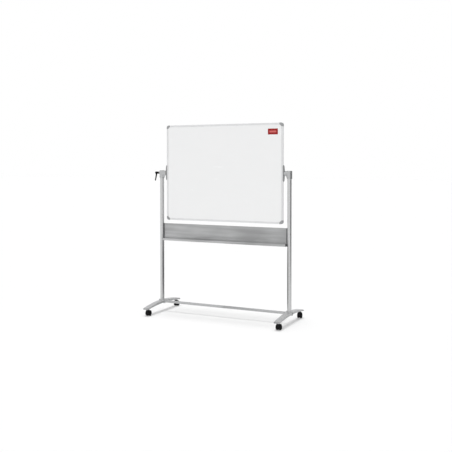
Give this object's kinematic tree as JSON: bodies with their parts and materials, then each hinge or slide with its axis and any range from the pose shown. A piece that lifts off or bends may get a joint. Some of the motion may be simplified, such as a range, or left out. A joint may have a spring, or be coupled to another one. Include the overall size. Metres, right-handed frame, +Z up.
{
  "type": "rolling whiteboard",
  "caption": "Double-sided framed whiteboard that turns between two posts, with a pen tray, clamp lever, arched feet, crossbar and twin-wheel castors.",
  "frame": {"origin": "on the floor, midway between the two feet", "axes": "+X to the right of a reader facing the board, -Y out of the front face, +Z up"},
  "size_m": [1.4565, 0.6093, 1.826],
  "materials": {
    "whiteboard_surface": "gloss",
    "board_core": "matte",
    "satin_aluminium": "satin",
    "corner_plastic": "matte",
    "grey_cast": "satin",
    "silver_paint": "satin",
    "tray_paint": "satin",
    "bright_steel": "satin",
    "dark_steel": "satin",
    "hardwood": "matte",
    "foot_cap_plastic": "satin",
    "black_plastic": "matte",
    "dark_grey_plastic": "matte",
    "nylon": "matte",
    "castor_black": "satin"
  },
  "bodies": {
    "stand": {"left_pivot_head": "grey_cast", "right_pivot_head": "grey_cast", "head_set_screws": "dark_steel", "pivot_bushes": "nylon", "left_post": "satin_aluminium", "right_post": "satin_aluminium", "left_foot": "silver_paint", "right_foot": "silver_paint", "foot_end_caps": "foot_cap_plastic", "castor_sockets": "nylon", "castor_stems": "bright_steel", "crossbar": "silver_paint", "crossbar_plugs": "bright_steel", "crossbar_bolts": "dark_steel", "post_plugs": "bright_steel", "post_bolts": "dark_steel", "left_tray_bracket": "dark_grey_plastic", "right_tray_bracket": "dark_grey_plastic", "tray_panel": "tray_paint", "pen_tray": "tray_paint", "tray_end_caps": "dark_grey_plastic", "tray_rivets": "bright_steel", "tray_bracket_screws": "bright_steel"},
    "board": {"board_core": "board_core", "front_sheet": "whiteboard_surface", "back_sheet": "whiteboard_surface", "frame_top": "satin_aluminium", "frame_bottom": "satin_aluminium", "frame_left": "satin_aluminium", "frame_right": "satin_aluminium", "frame_corners": "corner_plastic", "pivot_anchor_blocks": "hardwood", "left_pivot_plate": "grey_cast", "right_pivot_plate": "grey_cast", "pivot_plate_screws": "bright_steel", "left_pivot_shaft": "bright_steel", "right_pivot_shaft": "bright_steel"},
    "clamp_stud": {"clamp_stud": "bright_steel", "clamp_screw": "bright_steel", "clamp_spring": "bright_steel"},
    "clamp_handle": {"clamp_handle": "black_plastic"},
    "front_left_castor": {"front_left_castor_housing": "castor_black", "front_left_castor_axle": "bright_steel"},
    "front_left_castor_wheel_left": {"front_left_castor_wheel_left": "castor_black"},
    "front_left_castor_wheel_right": {"front_left_castor_wheel_right": "castor_black"},
    "front_right_castor": {"front_right_castor_housing": "castor_black", "front_right_castor_axle": "bright_steel"},
    "front_right_castor_wheel_left": {"front_right_castor_wheel_left": "castor_black"},
    "front_right_castor_wheel_right": {"front_right_castor_wheel_right": "castor_black"},
    "rear_left_castor": {"rear_left_castor_housing": "castor_black", "rear_left_castor_axle": "bright_steel"},
    "rear_left_castor_wheel_left": {"rear_left_castor_wheel_left": "castor_black"},
    "rear_left_castor_wheel_right": {"rear_left_castor_wheel_right": "castor_black"},
    "rear_right_castor": {"rear_right_castor_housing": "castor_black", "rear_right_castor_axle": "bright_steel"},
    "rear_right_castor_wheel_left": {"rear_right_castor_wheel_left": "castor_black"},
    "rear_right_castor_wheel_right": {"rear_right_castor_wheel_right": "castor_black"}
  },
  "joints": [
    {"name": "board_turn", "type": "hinge", "parent": "stand", "child": "board", "pos_m": [0, 0, 1.365], "axis": [1, 0, 0], "continuous": true},
    {"name": "lever_turn", "type": "hinge", "parent": "stand", "child": "clamp_stud", "pos_m": [-0.705, 0, 1.365], "axis": [1, 0, 0], "range_deg": [-270, 0]},
    {"name": "lever_lift", "type": "slide", "parent": "clamp_stud", "child": "clamp_handle", "axis": [-1, 0, 0], "range_m": [0, 0.004], "stiffness_N_per_m": 900, "springref_m": -0.003, "deforming": ["clamp_spring"]},
    {"name": "front_left_castor_swivel", "type": "hinge", "parent": "stand", "child": "front_left_castor", "pos_m": [-0.671, -0.266, 0.05], "axis": [0, 0, 1], "continuous": true},
    {"name": "front_left_castor_wheel_left_roll", "type": "hinge", "parent": "front_left_castor", "child": "front_left_castor_wheel_left", "pos_m": [-0.671, -0.2525, 0.0245], "axis": [1, 0, 0], "continuous": true},
    {"name": "front_left_castor_wheel_right_roll", "type": "hinge", "parent": "front_left_castor", "child": "front_left_castor_wheel_right", "pos_m": [-0.671, -0.2525, 0.0245], "axis": [1, 0, 0], "continuous": true},
    {"name": "front_right_castor_swivel", "type": "hinge", "parent": "stand", "child": "front_right_castor", "pos_m": [0.671, -0.266, 0.05], "axis": [0, 0, 1], "continuous": true},
    {"name": "front_right_castor_wheel_left_roll", "type": "hinge", "parent": "front_right_castor", "child": "front_right_castor_wheel_left", "pos_m": [0.671, -0.2525, 0.0245], "axis": [1, 0, 0], "continuous": true},
    {"name": "front_right_castor_wheel_right_roll", "type": "hinge", "parent": "front_right_castor", "child": "front_right_castor_wheel_right", "pos_m": [0.671, -0.2525, 0.0245], "axis": [1, 0, 0], "continuous": true},
    {"name": "rear_left_castor_swivel", "type": "hinge", "parent": "stand", "child": "rear_left_castor", "pos_m": [-0.671, 0.266, 0.05], "axis": [0, 0, 1], "continuous": true},
    {"name": "rear_left_castor_wheel_left_roll", "type": "hinge", "parent": "rear_left_castor", "child": "rear_left_castor_wheel_left", "pos_m": [-0.671, 0.2795, 0.0245], "axis": [1, 0, 0], "continuous": true},
    {"name": "rear_left_castor_wheel_right_roll", "type": "hinge", "parent": "rear_left_castor", "child": "rear_left_castor_wheel_right", "pos_m": [-0.671, 0.2795, 0.0245], "axis": [1, 0, 0], "continuous": true},
    {"name": "rear_right_castor_swivel", "type": "hinge", "parent": "stand", "child": "rear_right_castor", "pos_m": [0.671, 0.266, 0.05], "axis": [0, 0, 1], "continuous": true},
    {"name": "rear_right_castor_wheel_left_roll", "type": "hinge", "parent": "rear_right_castor", "child": "rear_right_castor_wheel_left", "pos_m": [0.66819, 0.2792, 0.0245], "axis": [0.9781, 0.2079, 0], "continuous": true},
    {"name": "rear_right_castor_wheel_right_roll", "type": "hinge", "parent": "rear_right_castor", "child": "rear_right_castor_wheel_right", "pos_m": [0.66819, 0.2792, 0.0245], "axis": [0.9781, 0.2079, 0], "continuous": true}
  ]
}
